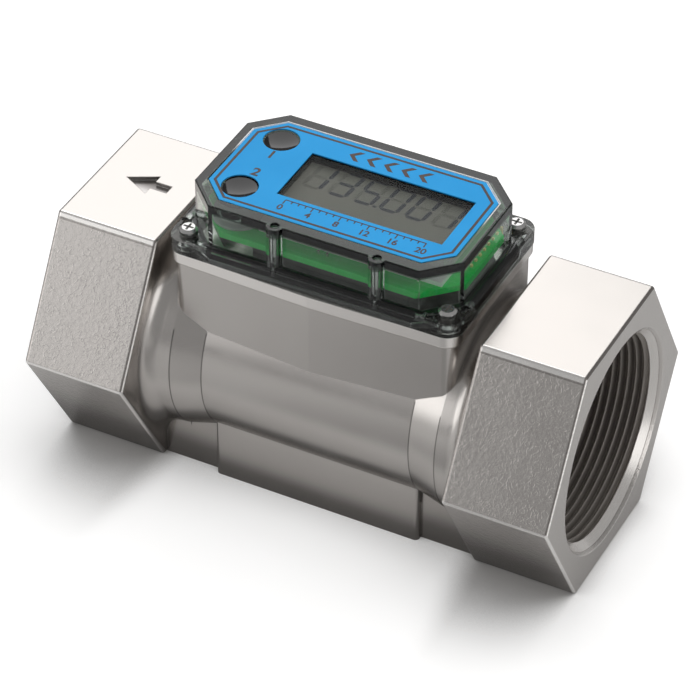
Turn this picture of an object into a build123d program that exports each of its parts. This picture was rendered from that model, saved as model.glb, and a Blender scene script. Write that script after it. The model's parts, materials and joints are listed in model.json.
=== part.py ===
from build123d import *
import os
from math import radians, sqrt

# Turbine flow meter with a local display. All sizes are in millimetres.
# X runs along the pipe with the inlet at +X, Y runs to the back and Z up.
# The origin is on the base, midway between the two ends of the pipe.

# Pipe thread in both ends, which sets the size of the hexagons
pipe_thread_radius = 30.16
pipe_thread_depth = 26.0
thread_mouth_chamfer = 0.84
hexagon_wall = 6.19

# Meter body, along the pipe
body_length = 152.4
hexagon_length = 29.8
hexagon_edge_radius = 1.0
barrel_radius = 28.0
cone_end_radius = 30.2
cone_length = 8.5
flare_length = 7.5
flare_throat_radius = 30.5
flare_radius = 4.8

# How far a cut runs on past the face that it opens, and a quarter turn in degrees
overrun = 1.0
quarter_turn = 90

# Flow passage
support_bore_radius = 24.6
rotor_bore_radius = 23.4
rotor_bore_length = 28.0

# Keel under the barrel
keel_length = 60.6
keel_width = 42.4
keel_corner_radius = 1.2
keel_end_width = 38.4

# Pedestal that carries the display
pedestal_rise = 38.0
lip_height = 3.7
lip_end_inset = 0.25
lip_side_inset = 0.35
lip_bow = 1.2
lip_edge_radius = 0.6
pedestal_inset = 1.0
pocket_end_ledge = 1.9
pocket_side_ledge = 2.0
pocket_corner = 9.0
pocket_depth = 7.0
coil_well_radius = 5.2
coil_well_depth = 5.2

# Flow arrow sunk in the outlet hexagon
arrow_length = 13.0
arrow_head_length = 8.0
arrow_head_width = 8.4
arrow_shaft_width = 3.3
arrow_depth = 1.2
arrow_from_end = 8.7

# Rotor supports
support_length = 20.0
support_rim_wall = 1.4
support_fit = 0.08
support_hub_radius = 8.0
support_nose_length = 9.0
support_vane_count = 5
support_vane_thickness = 1.8
support_vane_overlap = 0.5

# Retaining rings
ring_thickness = 1.2
ring_groove_play = 0.1
ring_groove_depth = 1.3
ring_radial_play = 0.2
ring_radial_width = 3.0
ring_gap_angle = 14.0
ring_lug_radius = 2.4
ring_lug_hole_radius = 0.9
ring_lug_angle = 13.0

# Rotor and shaft
rotor_length = 16.0
rotor_end_play = 0.3
rotor_hub_radius = 8.0
rotor_hub_chamfer = 1.0
rotor_tip_gap = 0.5
blade_count = 6
blade_length = 13.0
blade_thickness = 1.6
blade_twist = 42.0
blade_root_overlap = 0.8
magnet_radius = 1.5
magnet_length = 3.0
magnet_boss_wall = 1.1
magnet_boss_length = 5.0
magnet_fit = 0.02
magnet_cover = 0.3
shaft_radius = 1.6
shaft_bury = 9.0
shaft_running_gap = 0.05
shaft_fit = 0.02
bush_wall = 1.4
bush_fit = 0.02
washer_thickness = 1.2
washer_radius = 4.0

# Pickup coil
core_radius = 1.2
core_fit = 0.03
bobbin_wall = 0.8
bobbin_flange_thickness = 1.1
bobbin_clearance = 0.3
winding_margin = 0.5
terminal_arm_gap = 1.2
terminal_arm_width = 5.0
terminal_width = 0.64
terminal_fit = 0.03
terminal_pitch = 2.54
terminal_inset = 1.7
terminal_rise = 0.8

# Display window, which sets the length and width of the cover and the pedestal
window_length = 47.1
window_width = 19.9
window_inlet_margin = 8.35
window_outlet_margin = 21.55
window_side_margin = 12.65

# Cover
gasket_thickness = 1.6
gasket_inset = 0.3
gasket_to_screw = 1.0
flange_end_margin = 3.25
flange_side_margin = 2.45
flange_corner_radius = 4.65
flange_thickness = 2.4
bead_radius = 1.4
bead_center_drop = 0.45
bead_end_inset = 9.0
box_corner = 8.5
box_wall = 1.6
box_rise = 12.6
box_edge = 0.3
top_plate_thickness = 2.7
ear_gap = 0.2
ear_pocket_depth = 1.6
ear_pocket_rim = 1.1
ear_boss_wall = 1.1
rib_x = (-10.85, 18.15)
rib_radius = 2.3
rib_hole_radius = 0.9
rib_center_inset = 0.3
rib_hole_top_drop = 2.4
rib_top_recess_radius = 1.2
rib_top_recess_depth = 0.7
pin_radius = 0.45
pin_fit = 0.02
pin_length = 7.6
pin_bury = 0.6

# Cover screws
screw_radius = 1.75
screw_hole_gap = 0.2
screw_thread_fit = 0.05
screw_head_radius = 2.45
screw_head_height = 2.0
screw_head_dome = 0.7
screw_length = 12.0
screw_hole_spare = 1.0
screw_cross_length = 2.9
screw_cross_width = 0.6
screw_cross_depth = 1.0

# Circuit board and what it carries
board_end_gap = 0.3
board_side_gap = 1.3
board_corner = 8.6
board_thickness = 1.8
board_rise = 5.8
header_pin_count = 8
header_pitch = 2.54
header_inset = 1.95
header_center_y = 4.85
header_pin_width = 0.64
header_pin_fit = 0.02
header_pin_below = 0.5
header_pin_above = 0.6
chip_size = 6.6
chip_thickness = 1.2
chip_gap = 0.6
crystal_length = 8.0
crystal_width = 3.6
crystal_corner_radius = 1.2
crystal_height = 2.6
crystal_gap = 1.0
switch_size = 6.0
switch_height = 1.8
switch_plunger_radius = 1.75
switch_plunger_height = 1.0

# Battery tray and cells
tray_clearance = 0.4
tray_wall = 1.25
tray_plate = 1.6
cell_radius = 12.25
cell_thickness = 5.0
cell_cap_inset = 1.3
cell_cap_height = 0.9
cell_clearance = 0.2
contact_width = 4.0
contact_length = 16.0
contact_thickness = 0.3
contact_bow = 1.4
terminal_passage_gap = 0.5
header_relief_gap = 0.5
header_relief_spare = 0.5

# Display
glass_margin_x = 1.4
glass_margin_y = 1.6
glass_thickness = 1.8
glass_top_gap = 0.1
bezel_margin = 1.1
bezel_fit = 0.1
lens_margin = 0.6
lens_thickness = 0.8
lens_fit = 0.05
holder_margin_x = 2.2
holder_margin_y = 4.8
holder_base_thickness = 1.3
holder_wall = 1.3
strip_width = 1.6
strip_gap = 0.2

# Label plate
label_end_margin = 3.15
label_side_margin = 3.7
label_corner = 6.6
label_thickness = 0.35
label_recess = 0.05
label_fit = 0.3

# Buttons
button_end_margin = 11.7
button_side_margin = 11.2
button_hole_radius = 4.9
button_clearance = 0.3
button_dish = 0.7
button_top_drop = 0.6
button_flange_wall = 1.3
button_flange_thickness = 1.0
button_seat_gap = 0.3
button_stem_radius = 1.8
button_travel = 0.8
button_switch_gap = 0.3
dome_base_radius = 6.8
dome_base_thickness = 1.0
dome_wall = 0.7
dome_gap = 0.3
dome_rim_radius = 4.4

# Lengths, widths, heights and stations worked out from the sizes above
half_length = body_length / 2
across_flats = 2 * (pipe_thread_radius + hexagon_wall)
axis_height = across_flats / 2
hexagon_face = half_length - hexagon_length
cone_end = hexagon_face - flare_length
barrel_end = cone_end - cone_length
thread_end = half_length - pipe_thread_depth
support_start = rotor_bore_length / 2
support_end = support_start + support_length
ring_groove_radius = support_bore_radius + ring_groove_depth
lip_top = axis_height + pedestal_rise
pocket_floor = lip_top - pocket_depth
coil_well_floor = pocket_floor - coil_well_depth
flange_bottom = lip_top + gasket_thickness
flange_top = flange_bottom + flange_thickness
box_top = flange_top + box_rise
label_top = box_top - label_recess
label_seat = label_top - label_thickness
top_plate_bottom = label_seat - top_plate_thickness
box_length = window_inlet_margin + window_length + window_outlet_margin
box_width = window_width + 2 * window_side_margin
window_x = box_length / 2 - window_inlet_margin - window_length / 2
cavity_length = box_length - 2 * box_wall
cavity_width = box_width - 2 * box_wall
cavity_corner = box_corner - box_wall * (2 - sqrt(2))
flange_length = box_length + 2 * flange_end_margin
flange_width = box_width + 2 * flange_side_margin
screw_x = flange_length / 2 - flange_corner_radius
screw_y = flange_width / 2 - flange_corner_radius
gasket_length = flange_length - 2 * gasket_inset
gasket_width = flange_width - 2 * gasket_inset
gasket_corner = (
    gasket_length / 2 + gasket_width / 2 - screw_x - screw_y
    + sqrt(2) * (screw_radius + gasket_to_screw)
)
lip_length = flange_length - 2 * lip_end_inset
lip_end_width = flange_width - 2 * lip_side_inset
lip_corner_radius = flange_corner_radius - lip_end_inset
pocket_length = cavity_length - 2 * pocket_end_ledge
pocket_width = cavity_width - 2 * pocket_side_ledge
board_length = cavity_length - 2 * board_end_gap
board_width = cavity_width - 2 * board_side_gap
label_length = box_length - 2 * label_end_margin
label_width = box_width - 2 * label_side_margin
button_x = button_end_margin - box_length / 2
button_y = box_width / 2 - button_side_margin
board_bottom = lip_top + board_rise
board_top = board_bottom + board_thickness
glass_top = top_plate_bottom - glass_top_gap
glass_bottom = glass_top - glass_thickness
rotor_tip_radius = rotor_bore_radius - rotor_tip_gap
hub_face = rotor_length / 2 + rotor_end_play + washer_thickness
shaft_end = hub_face + shaft_bury
running_bore_radius = shaft_radius + shaft_running_gap
bush_radius = running_bore_radius + bush_wall
cell_floor = board_bottom - contact_thickness - contact_bow - cell_thickness
tray_length = 3 * tray_wall + 4 * (cell_radius + cell_clearance)
tray_left = pocket_length / 2 - tray_clearance - tray_length
holder_left = window_x - window_length / 2 - holder_margin_x
crystal_x = holder_left - crystal_gap - crystal_width / 2
chip_x = crystal_x - crystal_width / 2 - chip_gap - chip_size / 2
switch_top = board_top + switch_height + switch_plunger_height
button_flange_top = top_plate_bottom - button_seat_gap
button_flange_bottom = button_flange_top - button_flange_thickness
terminal_arm_length = pocket_width / 2 - terminal_arm_gap
terminal_y = terminal_inset - terminal_arm_length
on_axis = Pos(0, 0, axis_height)


def octagon(length, width, corner):
    """A rectangle with its four corners cut off at 45 degrees, as a face."""
    return chamfer(Rectangle(length, width).vertices(), corner)


def slab(face, bottom, top):
    """A flat piece between two heights."""
    return Pos(0, 0, bottom) * extrude(face, amount=top - bottom)


def disc(radius, start, end):
    """A round bar about the pipe's axis between two stations on X, its axis at z = 0."""
    return extrude(Plane.YZ.offset(start) * Circle(radius), amount=end - start)


def post(x, y, radius, bottom, top):
    """An upright round bar."""
    return Pos(x, y, bottom) * extrude(Circle(radius), amount=top - bottom)


def square_post(x, y, width, bottom, top):
    """An upright square bar."""
    return Pos(x, y, bottom) * extrude(Rectangle(width, width), amount=top - bottom)


def turned(*points):
    """A solid of revolution about the pipe's axis, from points given as (x, radius)."""
    profile = make_face(Plane.XZ * Polyline(*points, close=True))
    return revolve(profile, Axis.X)


def around(count, piece):
    """Copies of a piece spaced evenly about the pipe's axis."""
    return [Rot(360 / count * index, 0, 0) * piece for index in range(count)]


def screw_places():
    """Where the four cover screws stand, as (x, y)."""
    return [(x, y) for y in (-screw_y, screw_y) for x in (-screw_x, screw_x)]


def rib_places():
    """Where the cover's upright ribs stand in its front wall, as (x, y)."""
    return [(x, rib_center_inset - box_width / 2) for x in rib_x]


def header_places():
    """The row of gold pins along the inlet end of the board, as (x, y)."""
    first = header_center_y - header_pitch * (header_pin_count - 1) / 2
    x = board_length / 2 - header_inset
    return [(x, first + header_pitch * index) for index in range(header_pin_count)]


def terminal_places():
    """The two coil terminals on the end of the bobbin's arm, as (x, y)."""
    return [(-terminal_pitch / 2, terminal_y), (terminal_pitch / 2, terminal_y)]


def pedestal_outline(inset):
    """The pedestal's plan: straight ends, and sides that meet in a shallow V."""
    half_x = lip_length / 2 - inset
    end_y = lip_end_width / 2 - inset
    middle_y = end_y + lip_bow
    outline = Polygon(
        (-half_x, -end_y), (0, -middle_y), (half_x, -end_y),
        (half_x, end_y), (0, middle_y), (-half_x, end_y), align=None,
    )
    corners = [vertex for vertex in outline.vertices() if abs(vertex.X) > half_x / 2]
    return fillet(corners, lip_corner_radius - inset)


def hexagon_end(side):
    """One wrench hexagon, with flats above and below and soft edges."""
    center = side * (half_length - hexagon_length / 2)
    section = RegularPolygon(axis_height, 6, major_radius=False)
    prism = extrude(Plane.YZ.offset(center) * section, amount=hexagon_length / 2, both=True)
    return fillet(prism.edges(), hexagon_edge_radius)


def barrel():
    """The round middle of the body: barrel, cones and flares up to the hexagons."""
    inside_hexagon = hexagon_face + hexagon_edge_radius
    flare_start = hexagon_face - flare_radius
    flare_end_radius = flare_throat_radius + flare_radius
    reach = flare_radius / sqrt(2)
    edges = Polyline(
        (0, barrel_radius), (barrel_end, barrel_radius), (cone_end, cone_end_radius),
        (flare_start, flare_throat_radius),
    )
    flare = ThreePointArc(
        (flare_start, flare_throat_radius), (flare_start + reach, flare_end_radius - reach),
        (hexagon_face, flare_end_radius),
    )
    closing = Polyline(
        (hexagon_face, flare_end_radius), (inside_hexagon, flare_end_radius),
        (inside_hexagon, 0), (0, 0), (0, barrel_radius),
    )
    profile = make_face(Plane.XZ * (edges + flare + closing))
    half = revolve(profile, Axis.X)
    return half + mirror(half, Plane.YZ)


def keel():
    """The flat-bottomed web under the barrel, wider in the middle."""
    middle = extrude(
        fillet(Rectangle(keel_length, keel_width).vertices(), keel_corner_radius),
        amount=-axis_height,
    )
    ends = extrude(
        Rectangle(2 * (hexagon_face + hexagon_edge_radius), keel_end_width), amount=-axis_height
    )
    return middle + ends


def flow_passage():
    """What is cut along the pipe: both threads, the support bores and the rotor bore."""
    mouth_radius = pipe_thread_radius + thread_mouth_chamfer
    shoulder = pipe_thread_radius - support_bore_radius
    groove_end = support_end + ring_thickness + ring_groove_play
    half = turned(
        (0, 0), (0, rotor_bore_radius), (support_start, rotor_bore_radius),
        (support_start, support_bore_radius), (support_end, support_bore_radius),
        (support_end, ring_groove_radius), (groove_end, ring_groove_radius),
        (groove_end, support_bore_radius), (thread_end - shoulder, support_bore_radius),
        (thread_end, pipe_thread_radius), (half_length - thread_mouth_chamfer, pipe_thread_radius),
        (half_length, mouth_radius), (half_length + overrun, mouth_radius),
        (half_length + overrun, 0),
    )
    return half + mirror(half, Plane.YZ)


def flow_arrow():
    """The arrow sunk in the top of the outlet hexagon, pointing downstream."""
    tip = -half_length + arrow_from_end
    neck = tip + arrow_head_length
    tail = tip + arrow_length
    half_head = arrow_head_width / 2
    half_shaft = arrow_shaft_width / 2
    outline = Polygon(
        (tip, 0), (neck, -half_head), (neck, -half_shaft), (tail, -half_shaft),
        (tail, half_shaft), (neck, half_shaft), (neck, half_head), align=None,
    )
    return slab(outline, across_flats - arrow_depth, across_flats + overrun)


def pocket_cuts():
    """The electronics pocket, the coil well, the slot for the coil's arm and the screw holes."""
    pocket = slab(octagon(pocket_length, pocket_width, pocket_corner), pocket_floor, lip_top)
    well = post(0, 0, coil_well_radius, coil_well_floor, pocket_floor)
    slot_length = terminal_arm_length + bobbin_clearance
    slot_face = Pos(0, -slot_length / 2) * Rectangle(
        terminal_arm_width + 2 * bobbin_clearance, slot_length
    )
    slot = slab(slot_face, pocket_floor - bobbin_flange_thickness, pocket_floor)
    hole_bottom = flange_top - screw_length - screw_hole_spare
    holes = [
        post(x, y, screw_radius + screw_thread_fit, hole_bottom, lip_top)
        for x, y in screw_places()
    ]
    return [pocket, well, slot, *holes]


def body_casting():
    """The whole stainless body in one piece."""
    lip = slab(pedestal_outline(0), lip_top - lip_height, lip_top)
    lip = fillet(lip.edges().group_by(Axis.Z)[0], lip_edge_radius)
    pedestal = slab(pedestal_outline(pedestal_inset), axis_height, lip_top)
    along_pipe = [hexagon_end(-1), hexagon_end(1), barrel(), keel()]
    solid = pedestal + lip
    for piece in along_pipe:
        solid += on_axis * piece
    solid -= on_axis * flow_passage()
    solid -= flow_arrow()
    for cut in pocket_cuts():
        solid -= cut
    return solid


def rotor_support(side):
    """A vaned ring that holds one end of the shaft and straightens the flow."""
    rim_radius = support_bore_radius - support_fit
    rim_bore = rim_radius - support_rim_wall
    rim = disc(rim_radius, support_start, support_end) - disc(rim_bore, support_start, support_end)
    nose_start = support_end
    hub = disc(support_hub_radius, hub_face, nose_start)
    nose_profile = make_face(
        Plane.XZ * (
            EllipticalCenterArc(
                (nose_start, 0), support_nose_length, support_hub_radius, arc_size=quarter_turn
            )
            + Polyline(
                (nose_start, support_hub_radius), (nose_start, 0),
                (nose_start + support_nose_length, 0),
            )
        )
    )
    nose = revolve(nose_profile, Axis.X)
    vane_reach = rim_bore + support_vane_overlap - (support_hub_radius - support_vane_overlap)
    vane_face = Plane.XY.offset(support_hub_radius - support_vane_overlap) * (
        Pos((support_start + support_end) / 2, 0)
        * SlotOverall(support_length, support_vane_thickness)
    )
    vane = extrude(vane_face, amount=vane_reach)
    solid = rim + hub + nose
    for copy in around(support_vane_count, vane):
        solid += copy
    solid -= disc(shaft_radius + shaft_fit, hub_face, shaft_end)
    if side < 0:
        solid = mirror(solid, Plane.YZ)
    return on_axis * solid


def retaining_ring(side):
    """A spring ring in its groove, with a gap at the bottom and two eyes for pliers."""
    outer = ring_groove_radius - ring_radial_play
    inner = outer - ring_radial_width
    eye_radius = inner
    eyes = [
        Rot(0, 0, side_angle) * Pos(0, -eye_radius) * Circle(ring_lug_radius)
        for side_angle in (-ring_lug_angle, ring_lug_angle)
    ]
    holes = [
        Rot(0, 0, side_angle) * Pos(0, -eye_radius) * Circle(ring_lug_hole_radius)
        for side_angle in (-ring_lug_angle, ring_lug_angle)
    ]
    gap = Pos(0, -outer) * Rectangle(
        outer * radians(ring_gap_angle), 2 * (outer - inner) + overrun
    )
    section = Circle(outer) - Circle(inner)
    for eye in eyes:
        section += eye
    section -= gap
    for hole in holes:
        section -= hole
    ring = extrude(Plane.YZ.offset(support_end) * section, amount=ring_thickness)
    if side < 0:
        ring = mirror(ring, Plane.YZ)
    return on_axis * ring


def thrust_washer(side):
    """The washer between the rotor and a support's hub."""
    washer = disc(washer_radius, hub_face - washer_thickness, hub_face)
    washer -= disc(running_bore_radius, hub_face - washer_thickness, hub_face)
    if side < 0:
        washer = mirror(washer, Plane.YZ)
    return on_axis * washer


def rotor_shaft():
    """The fixed shaft, pressed into both supports."""
    return on_axis * disc(shaft_radius, -shaft_end, shaft_end)


def magnet_places(inner_radius, outer_radius, radius):
    """Two opposite radial bars in the middle of the rotor."""
    bar = extrude(Plane.XY.offset(inner_radius) * Circle(radius), amount=outer_radius - inner_radius)
    return around(2, bar)


def helical_blade():
    """One blade: a thin radial section that turns about the axis as it runs along it."""
    root = rotor_hub_radius - blade_root_overlap
    reach = rotor_tip_radius + overrun - root
    section = Plane.YZ.offset(-blade_length / 2) * (
        Pos(0, root + reach / 2) * Rectangle(blade_thickness, reach)
    )
    center = (-blade_length / 2, 0, 0)
    blade = Solid.extrude_linear_with_rotation(
        section.face(), center, (blade_length, 0, 0), blade_twist
    )
    return Rot(-blade_twist / 2, 0, 0) * blade


def turbine_rotor():
    """The rotor: hub, helical blades, and two bosses that hold the magnets in the tips."""
    half = rotor_length / 2
    hub = turned(
        (-half, 0), (-half, rotor_hub_radius - rotor_hub_chamfer),
        (-half + rotor_hub_chamfer, rotor_hub_radius),
        (half - rotor_hub_chamfer, rotor_hub_radius),
        (half, rotor_hub_radius - rotor_hub_chamfer), (half, 0),
    )
    magnet_inner = rotor_tip_radius - magnet_cover - magnet_length
    blades = Part()
    for copy in around(blade_count, helical_blade()):
        blades += copy
    boss_radius = magnet_radius + magnet_boss_wall
    boss_inner = rotor_tip_radius - magnet_boss_length
    for boss in magnet_places(boss_inner, rotor_tip_radius + overrun, boss_radius):
        blades += boss
    solid = hub + (blades & disc(rotor_tip_radius, -half, half))
    solid -= disc(bush_radius + bush_fit, -half, half)
    hole_radius = magnet_radius + magnet_fit
    for hole in magnet_places(magnet_inner, rotor_tip_radius + overrun, hole_radius):
        solid -= hole
    return on_axis * solid


def rotor_bush():
    """The hard bush in the rotor that runs on the shaft."""
    half = rotor_length / 2
    return on_axis * (disc(bush_radius, -half, half) - disc(running_bore_radius, -half, half))


def rotor_magnets():
    """The two magnets that pass under the pickup coil."""
    outer = rotor_tip_radius - magnet_cover
    bars = magnet_places(outer - magnet_length, outer, magnet_radius)
    return on_axis * Compound(bars)


def pickup_core():
    """The soft iron core of the pickup coil."""
    return post(0, 0, core_radius, coil_well_floor, pocket_floor)


def pickup_bobbin():
    """The coil's spool, with an arm in the pocket floor that carries its terminals."""
    flange_radius = coil_well_radius - bobbin_clearance
    spool_radius = core_radius + core_fit + bobbin_wall
    top_flange = pocket_floor - bobbin_flange_thickness
    spool = post(0, 0, flange_radius, coil_well_floor, coil_well_floor + bobbin_flange_thickness)
    spool += post(0, 0, spool_radius, coil_well_floor, pocket_floor)
    spool += post(0, 0, flange_radius, top_flange, pocket_floor)
    arm_face = Pos(0, -terminal_arm_length / 2) * Rectangle(terminal_arm_width, terminal_arm_length)
    spool += slab(arm_face, top_flange, pocket_floor)
    spool -= post(0, 0, core_radius + core_fit, coil_well_floor, pocket_floor)
    for x, y in terminal_places():
        spool -= square_post(x, y, terminal_width + terminal_fit, top_flange, pocket_floor)
    return spool


def pickup_winding():
    """The copper winding between the spool's flanges."""
    inner = core_radius + core_fit + bobbin_wall + core_fit
    outer = coil_well_radius - bobbin_clearance - winding_margin
    bottom = coil_well_floor + bobbin_flange_thickness
    top = pocket_floor - bobbin_flange_thickness
    return post(0, 0, outer, bottom, top) - post(0, 0, inner, bottom, top)


def pickup_terminals():
    """Two stiff pins from the bobbin's arm up through the board."""
    bottom = pocket_floor - bobbin_flange_thickness
    top = board_top + terminal_rise
    return Compound(
        [square_post(x, y, terminal_width, bottom, top) for x, y in terminal_places()]
    )


def gasket_outline(margin):
    """The seal's outer octagon, which passes inside the screws."""
    return octagon(gasket_length + 2 * margin, gasket_width + 2 * margin, gasket_corner)


def cover_gasket():
    """The black seal between the pedestal's lip and the cover's flange."""
    ring = gasket_outline(0) - octagon(cavity_length, cavity_width, cavity_corner)
    return slab(ring, lip_top, flange_bottom)


def cover_box():
    """The cover's octagonal box, its top edge broken all round, with the ribs in its front wall."""
    box = slab(octagon(box_length, box_width, box_corner), flange_bottom, box_top)
    box = chamfer(box.faces().sort_by(Axis.Z)[-1].edges(), box_edge)
    for x, y in rib_places():
        box += post(x, y, rib_radius, flange_bottom, box_top)
        box -= post(x, y, rib_top_recess_radius, box_top - rib_top_recess_depth, box_top)
    return box


def cover_beads():
    """The half-round beads along the four straight sides of the flange."""
    y = flange_width / 2 - bead_radius
    x = flange_length / 2 - bead_radius
    z = flange_top - bead_center_drop
    long_half = flange_length / 2 - bead_end_inset
    short_half = flange_width / 2 - bead_end_inset
    long_bar = extrude(Plane.YZ.offset(-long_half) * Circle(bead_radius), amount=2 * long_half)
    short_bar = extrude(Plane.XZ.offset(-short_half) * Circle(bead_radius), amount=2 * short_half)
    beads = [Pos(0, side * y, z) * long_bar for side in (-1, 1)]
    beads += [Pos(side * x, 0, z) * short_bar for side in (-1, 1)]
    return beads


def ear_pockets():
    """The shallow three-sided pockets beside each screw boss in the flange's corners."""
    inner = offset(flange_outline(), -ear_pocket_rim)
    box = octagon(box_length + 2 * ear_pocket_rim, box_width + 2 * ear_pocket_rim, box_corner)
    corners = inner - gasket_outline(0) - box
    boss_radius = screw_head_radius + ear_boss_wall
    for x, y in screw_places():
        corners -= Pos(x, y) * Circle(boss_radius)
    return slab(corners, flange_top - ear_pocket_depth, flange_top)


def flange_outline():
    """The flange's plan."""
    return RectangleRounded(flange_length, flange_width, flange_corner_radius)


def clear_cover():
    """The clear cover: octagonal box with ribs, flange, beads, and ears round the seal."""
    solid = cover_box() + slab(flange_outline(), flange_bottom, flange_top)
    solid += slab(flange_outline() - gasket_outline(ear_gap), lip_top, flange_bottom)
    for bead in cover_beads():
        solid += bead
    solid -= ear_pockets()
    solid -= slab(octagon(cavity_length, cavity_width, cavity_corner), flange_bottom, top_plate_bottom)
    for x, y in rib_places():
        solid -= post(x, y, rib_hole_radius, flange_bottom, box_top - rib_hole_top_drop)
        pin_hole_top = box_top - rib_hole_top_drop + pin_bury
        solid -= post(x, y, pin_radius + pin_fit, flange_bottom, pin_hole_top)
    for x, y in screw_places():
        solid -= post(x, y, screw_radius + screw_hole_gap, lip_top, flange_top)
    solid -= slab(
        octagon(label_length + 2 * label_fit, label_width + 2 * label_fit, label_corner),
        label_seat, box_top,
    )
    solid -= slab(window_face(bezel_margin), top_plate_bottom, label_seat)
    for side in (-1, 1):
        solid -= post(button_x, side * button_y, button_hole_radius, top_plate_bottom, label_seat)
    return solid


def cover_pins():
    """The steel pins that hang in the cover's ribs."""
    top = box_top - rib_hole_top_drop + pin_bury
    return Compound([post(x, y, pin_radius, top - pin_length, top) for x, y in rib_places()])


def cover_screws():
    """Four pan head screws with a cross recess, through the ears into the pedestal."""
    screws = []
    for x, y in screw_places():
        head = post(x, y, screw_head_radius, flange_top, flange_top + screw_head_height)
        head = chamfer(head.edges().group_by(Axis.Z)[-1], screw_head_dome)
        shank = post(x, y, screw_radius, flange_top - screw_length, flange_top)
        head_top = flange_top + screw_head_height
        slot = Rectangle(screw_cross_length, screw_cross_width)
        cross = Pos(x, y) * (slot + Rot(0, 0, quarter_turn) * slot)
        screws.append(head + shank - slab(cross, head_top - screw_cross_depth, head_top))
    return Compound([screw.solid() for screw in screws])


def window_face(margin):
    """The display window grown by a margin."""
    return Pos(window_x, 0) * Rectangle(window_length + 2 * margin, window_width + 2 * margin)


def circuit_board():
    """The board, with holes for the coil's terminals and the header pins."""
    board = slab(octagon(board_length, board_width, board_corner), board_bottom, board_top)
    for x, y in terminal_places():
        board -= square_post(x, y, terminal_width + terminal_fit, board_bottom, board_top)
    for x, y in header_places():
        board -= square_post(x, y, header_pin_width + header_pin_fit, board_bottom, board_top)
    return board


def header_pins():
    """The row of gold pins soldered through the board."""
    bottom = board_bottom - header_pin_below
    top = board_top + header_pin_above
    return Compound([square_post(x, y, header_pin_width, bottom, top) for x, y in header_places()])


def controller_chip():
    """The counter's controller, a square package on the board between the buttons."""
    return slab(Pos(chip_x, 0) * Rectangle(chip_size, chip_size), board_top, board_top + chip_thickness)


def clock_crystal():
    """The metal can of the clock crystal."""
    can = fillet(Rectangle(crystal_width, crystal_length).vertices(), crystal_corner_radius)
    return slab(Pos(crystal_x, 0) * can, board_top, board_top + crystal_height)


def tact_switch(side):
    """A tactile switch under a button, its plunger at rest."""
    y = side * button_y
    case_top = board_top + switch_height
    case = slab(Pos(button_x, y) * Rectangle(switch_size, switch_size), board_top, case_top)
    return case + post(button_x, y, switch_plunger_radius, case_top, switch_top)


def cell_places():
    """The two coin cells side by side in the tray, as x."""
    first = tray_left + tray_wall + cell_clearance + cell_radius
    return [first, first + 2 * cell_radius + 2 * cell_clearance + tray_wall]


def tray_face(inset):
    """The tray's plan: the pedestal's pocket less a clearance, cut off at the button end."""
    gap = 2 * (tray_clearance + inset)
    whole = octagon(pocket_length - gap, pocket_width - gap, pocket_corner)
    right = pocket_length / 2
    left = tray_left + inset
    keep = Pos((left + right) / 2, 0) * Rectangle(right - left, pocket_width)
    return whole & keep


def battery_tray():
    """The black tray that stands on the pocket floor, holds the cells and carries the board."""
    solid = slab(tray_face(0), pocket_floor, board_bottom)
    solid -= slab(tray_face(tray_wall), pocket_floor, cell_floor - tray_plate)
    for x in cell_places():
        solid -= post(x, 0, cell_radius + cell_clearance, cell_floor, board_bottom)
    for x, y in terminal_places():
        passage = terminal_width + 2 * terminal_passage_gap
        solid -= square_post(x, y, passage, pocket_floor, board_bottom)
    relief_bottom = board_bottom - header_pin_below - header_relief_spare
    relief_width = header_pin_width + 2 * header_relief_gap
    relief_length = header_pitch * (header_pin_count - 1) + relief_width
    relief_face = Pos(board_length / 2 - header_inset, header_center_y) * Rectangle(
        relief_width, relief_length
    )
    return solid - slab(relief_face, relief_bottom, board_bottom)


def coin_cell(x):
    """A coin cell, with its narrower cap on top."""
    can_top = cell_floor + cell_thickness - cell_cap_height
    can = post(x, 0, cell_radius, cell_floor, can_top)
    return can + post(x, 0, cell_radius - cell_cap_inset, can_top, cell_floor + cell_thickness)


def battery_contact(x):
    """A leaf spring between a cell and the board, bowed down onto the cell."""
    half = contact_length / 2
    top = board_bottom
    low = cell_floor + cell_thickness
    upper = ThreePointArc((-half, top), (0, low + contact_thickness), (half, top))
    lower = ThreePointArc((-half, top - contact_thickness), (0, low), (half, top - contact_thickness))
    sides = [
        Line((-half, top), (-half, top - contact_thickness)),
        Line((half, top), (half, top - contact_thickness)),
    ]
    profile = make_face(Plane.XZ * (upper + lower + sides))
    return Pos(x, 0, 0) * extrude(profile, amount=contact_width / 2, both=True)


def display_holder():
    """The white frame that holds the display glass above the board."""
    base = Pos(window_x, 0) * Rectangle(
        window_length + 2 * holder_margin_x, window_width + 2 * holder_margin_y
    )
    glass_length = window_length + 2 * glass_margin_x
    glass_width = window_width + 2 * glass_margin_y
    wall = Pos(window_x, 0) * Rectangle(glass_length, glass_width)
    opening = Pos(window_x, 0) * Rectangle(
        glass_length - 2 * holder_wall, glass_width - 2 * holder_wall
    )
    solid = slab(base, board_top, board_top + holder_base_thickness)
    solid += slab(wall, board_top, glass_bottom)
    return solid - slab(opening, board_top, glass_bottom)


def contact_strips():
    """The two elastic strips that join the glass to the board inside the holder."""
    y = window_width / 2 + glass_margin_y - holder_wall - strip_gap - strip_width / 2
    length = window_length + 2 * glass_margin_x - 2 * holder_wall - 2 * strip_gap
    face = Rectangle(length, strip_width)
    strips = [slab(Pos(window_x, side * y) * face, board_top, glass_bottom) for side in (-1, 1)]
    return Compound([strip.solid() for strip in strips])


def display_glass():
    """The liquid crystal cell."""
    face = Pos(window_x, 0) * Rectangle(
        window_length + 2 * glass_margin_x, window_width + 2 * glass_margin_y
    )
    return slab(face, glass_bottom, glass_top)


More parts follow.
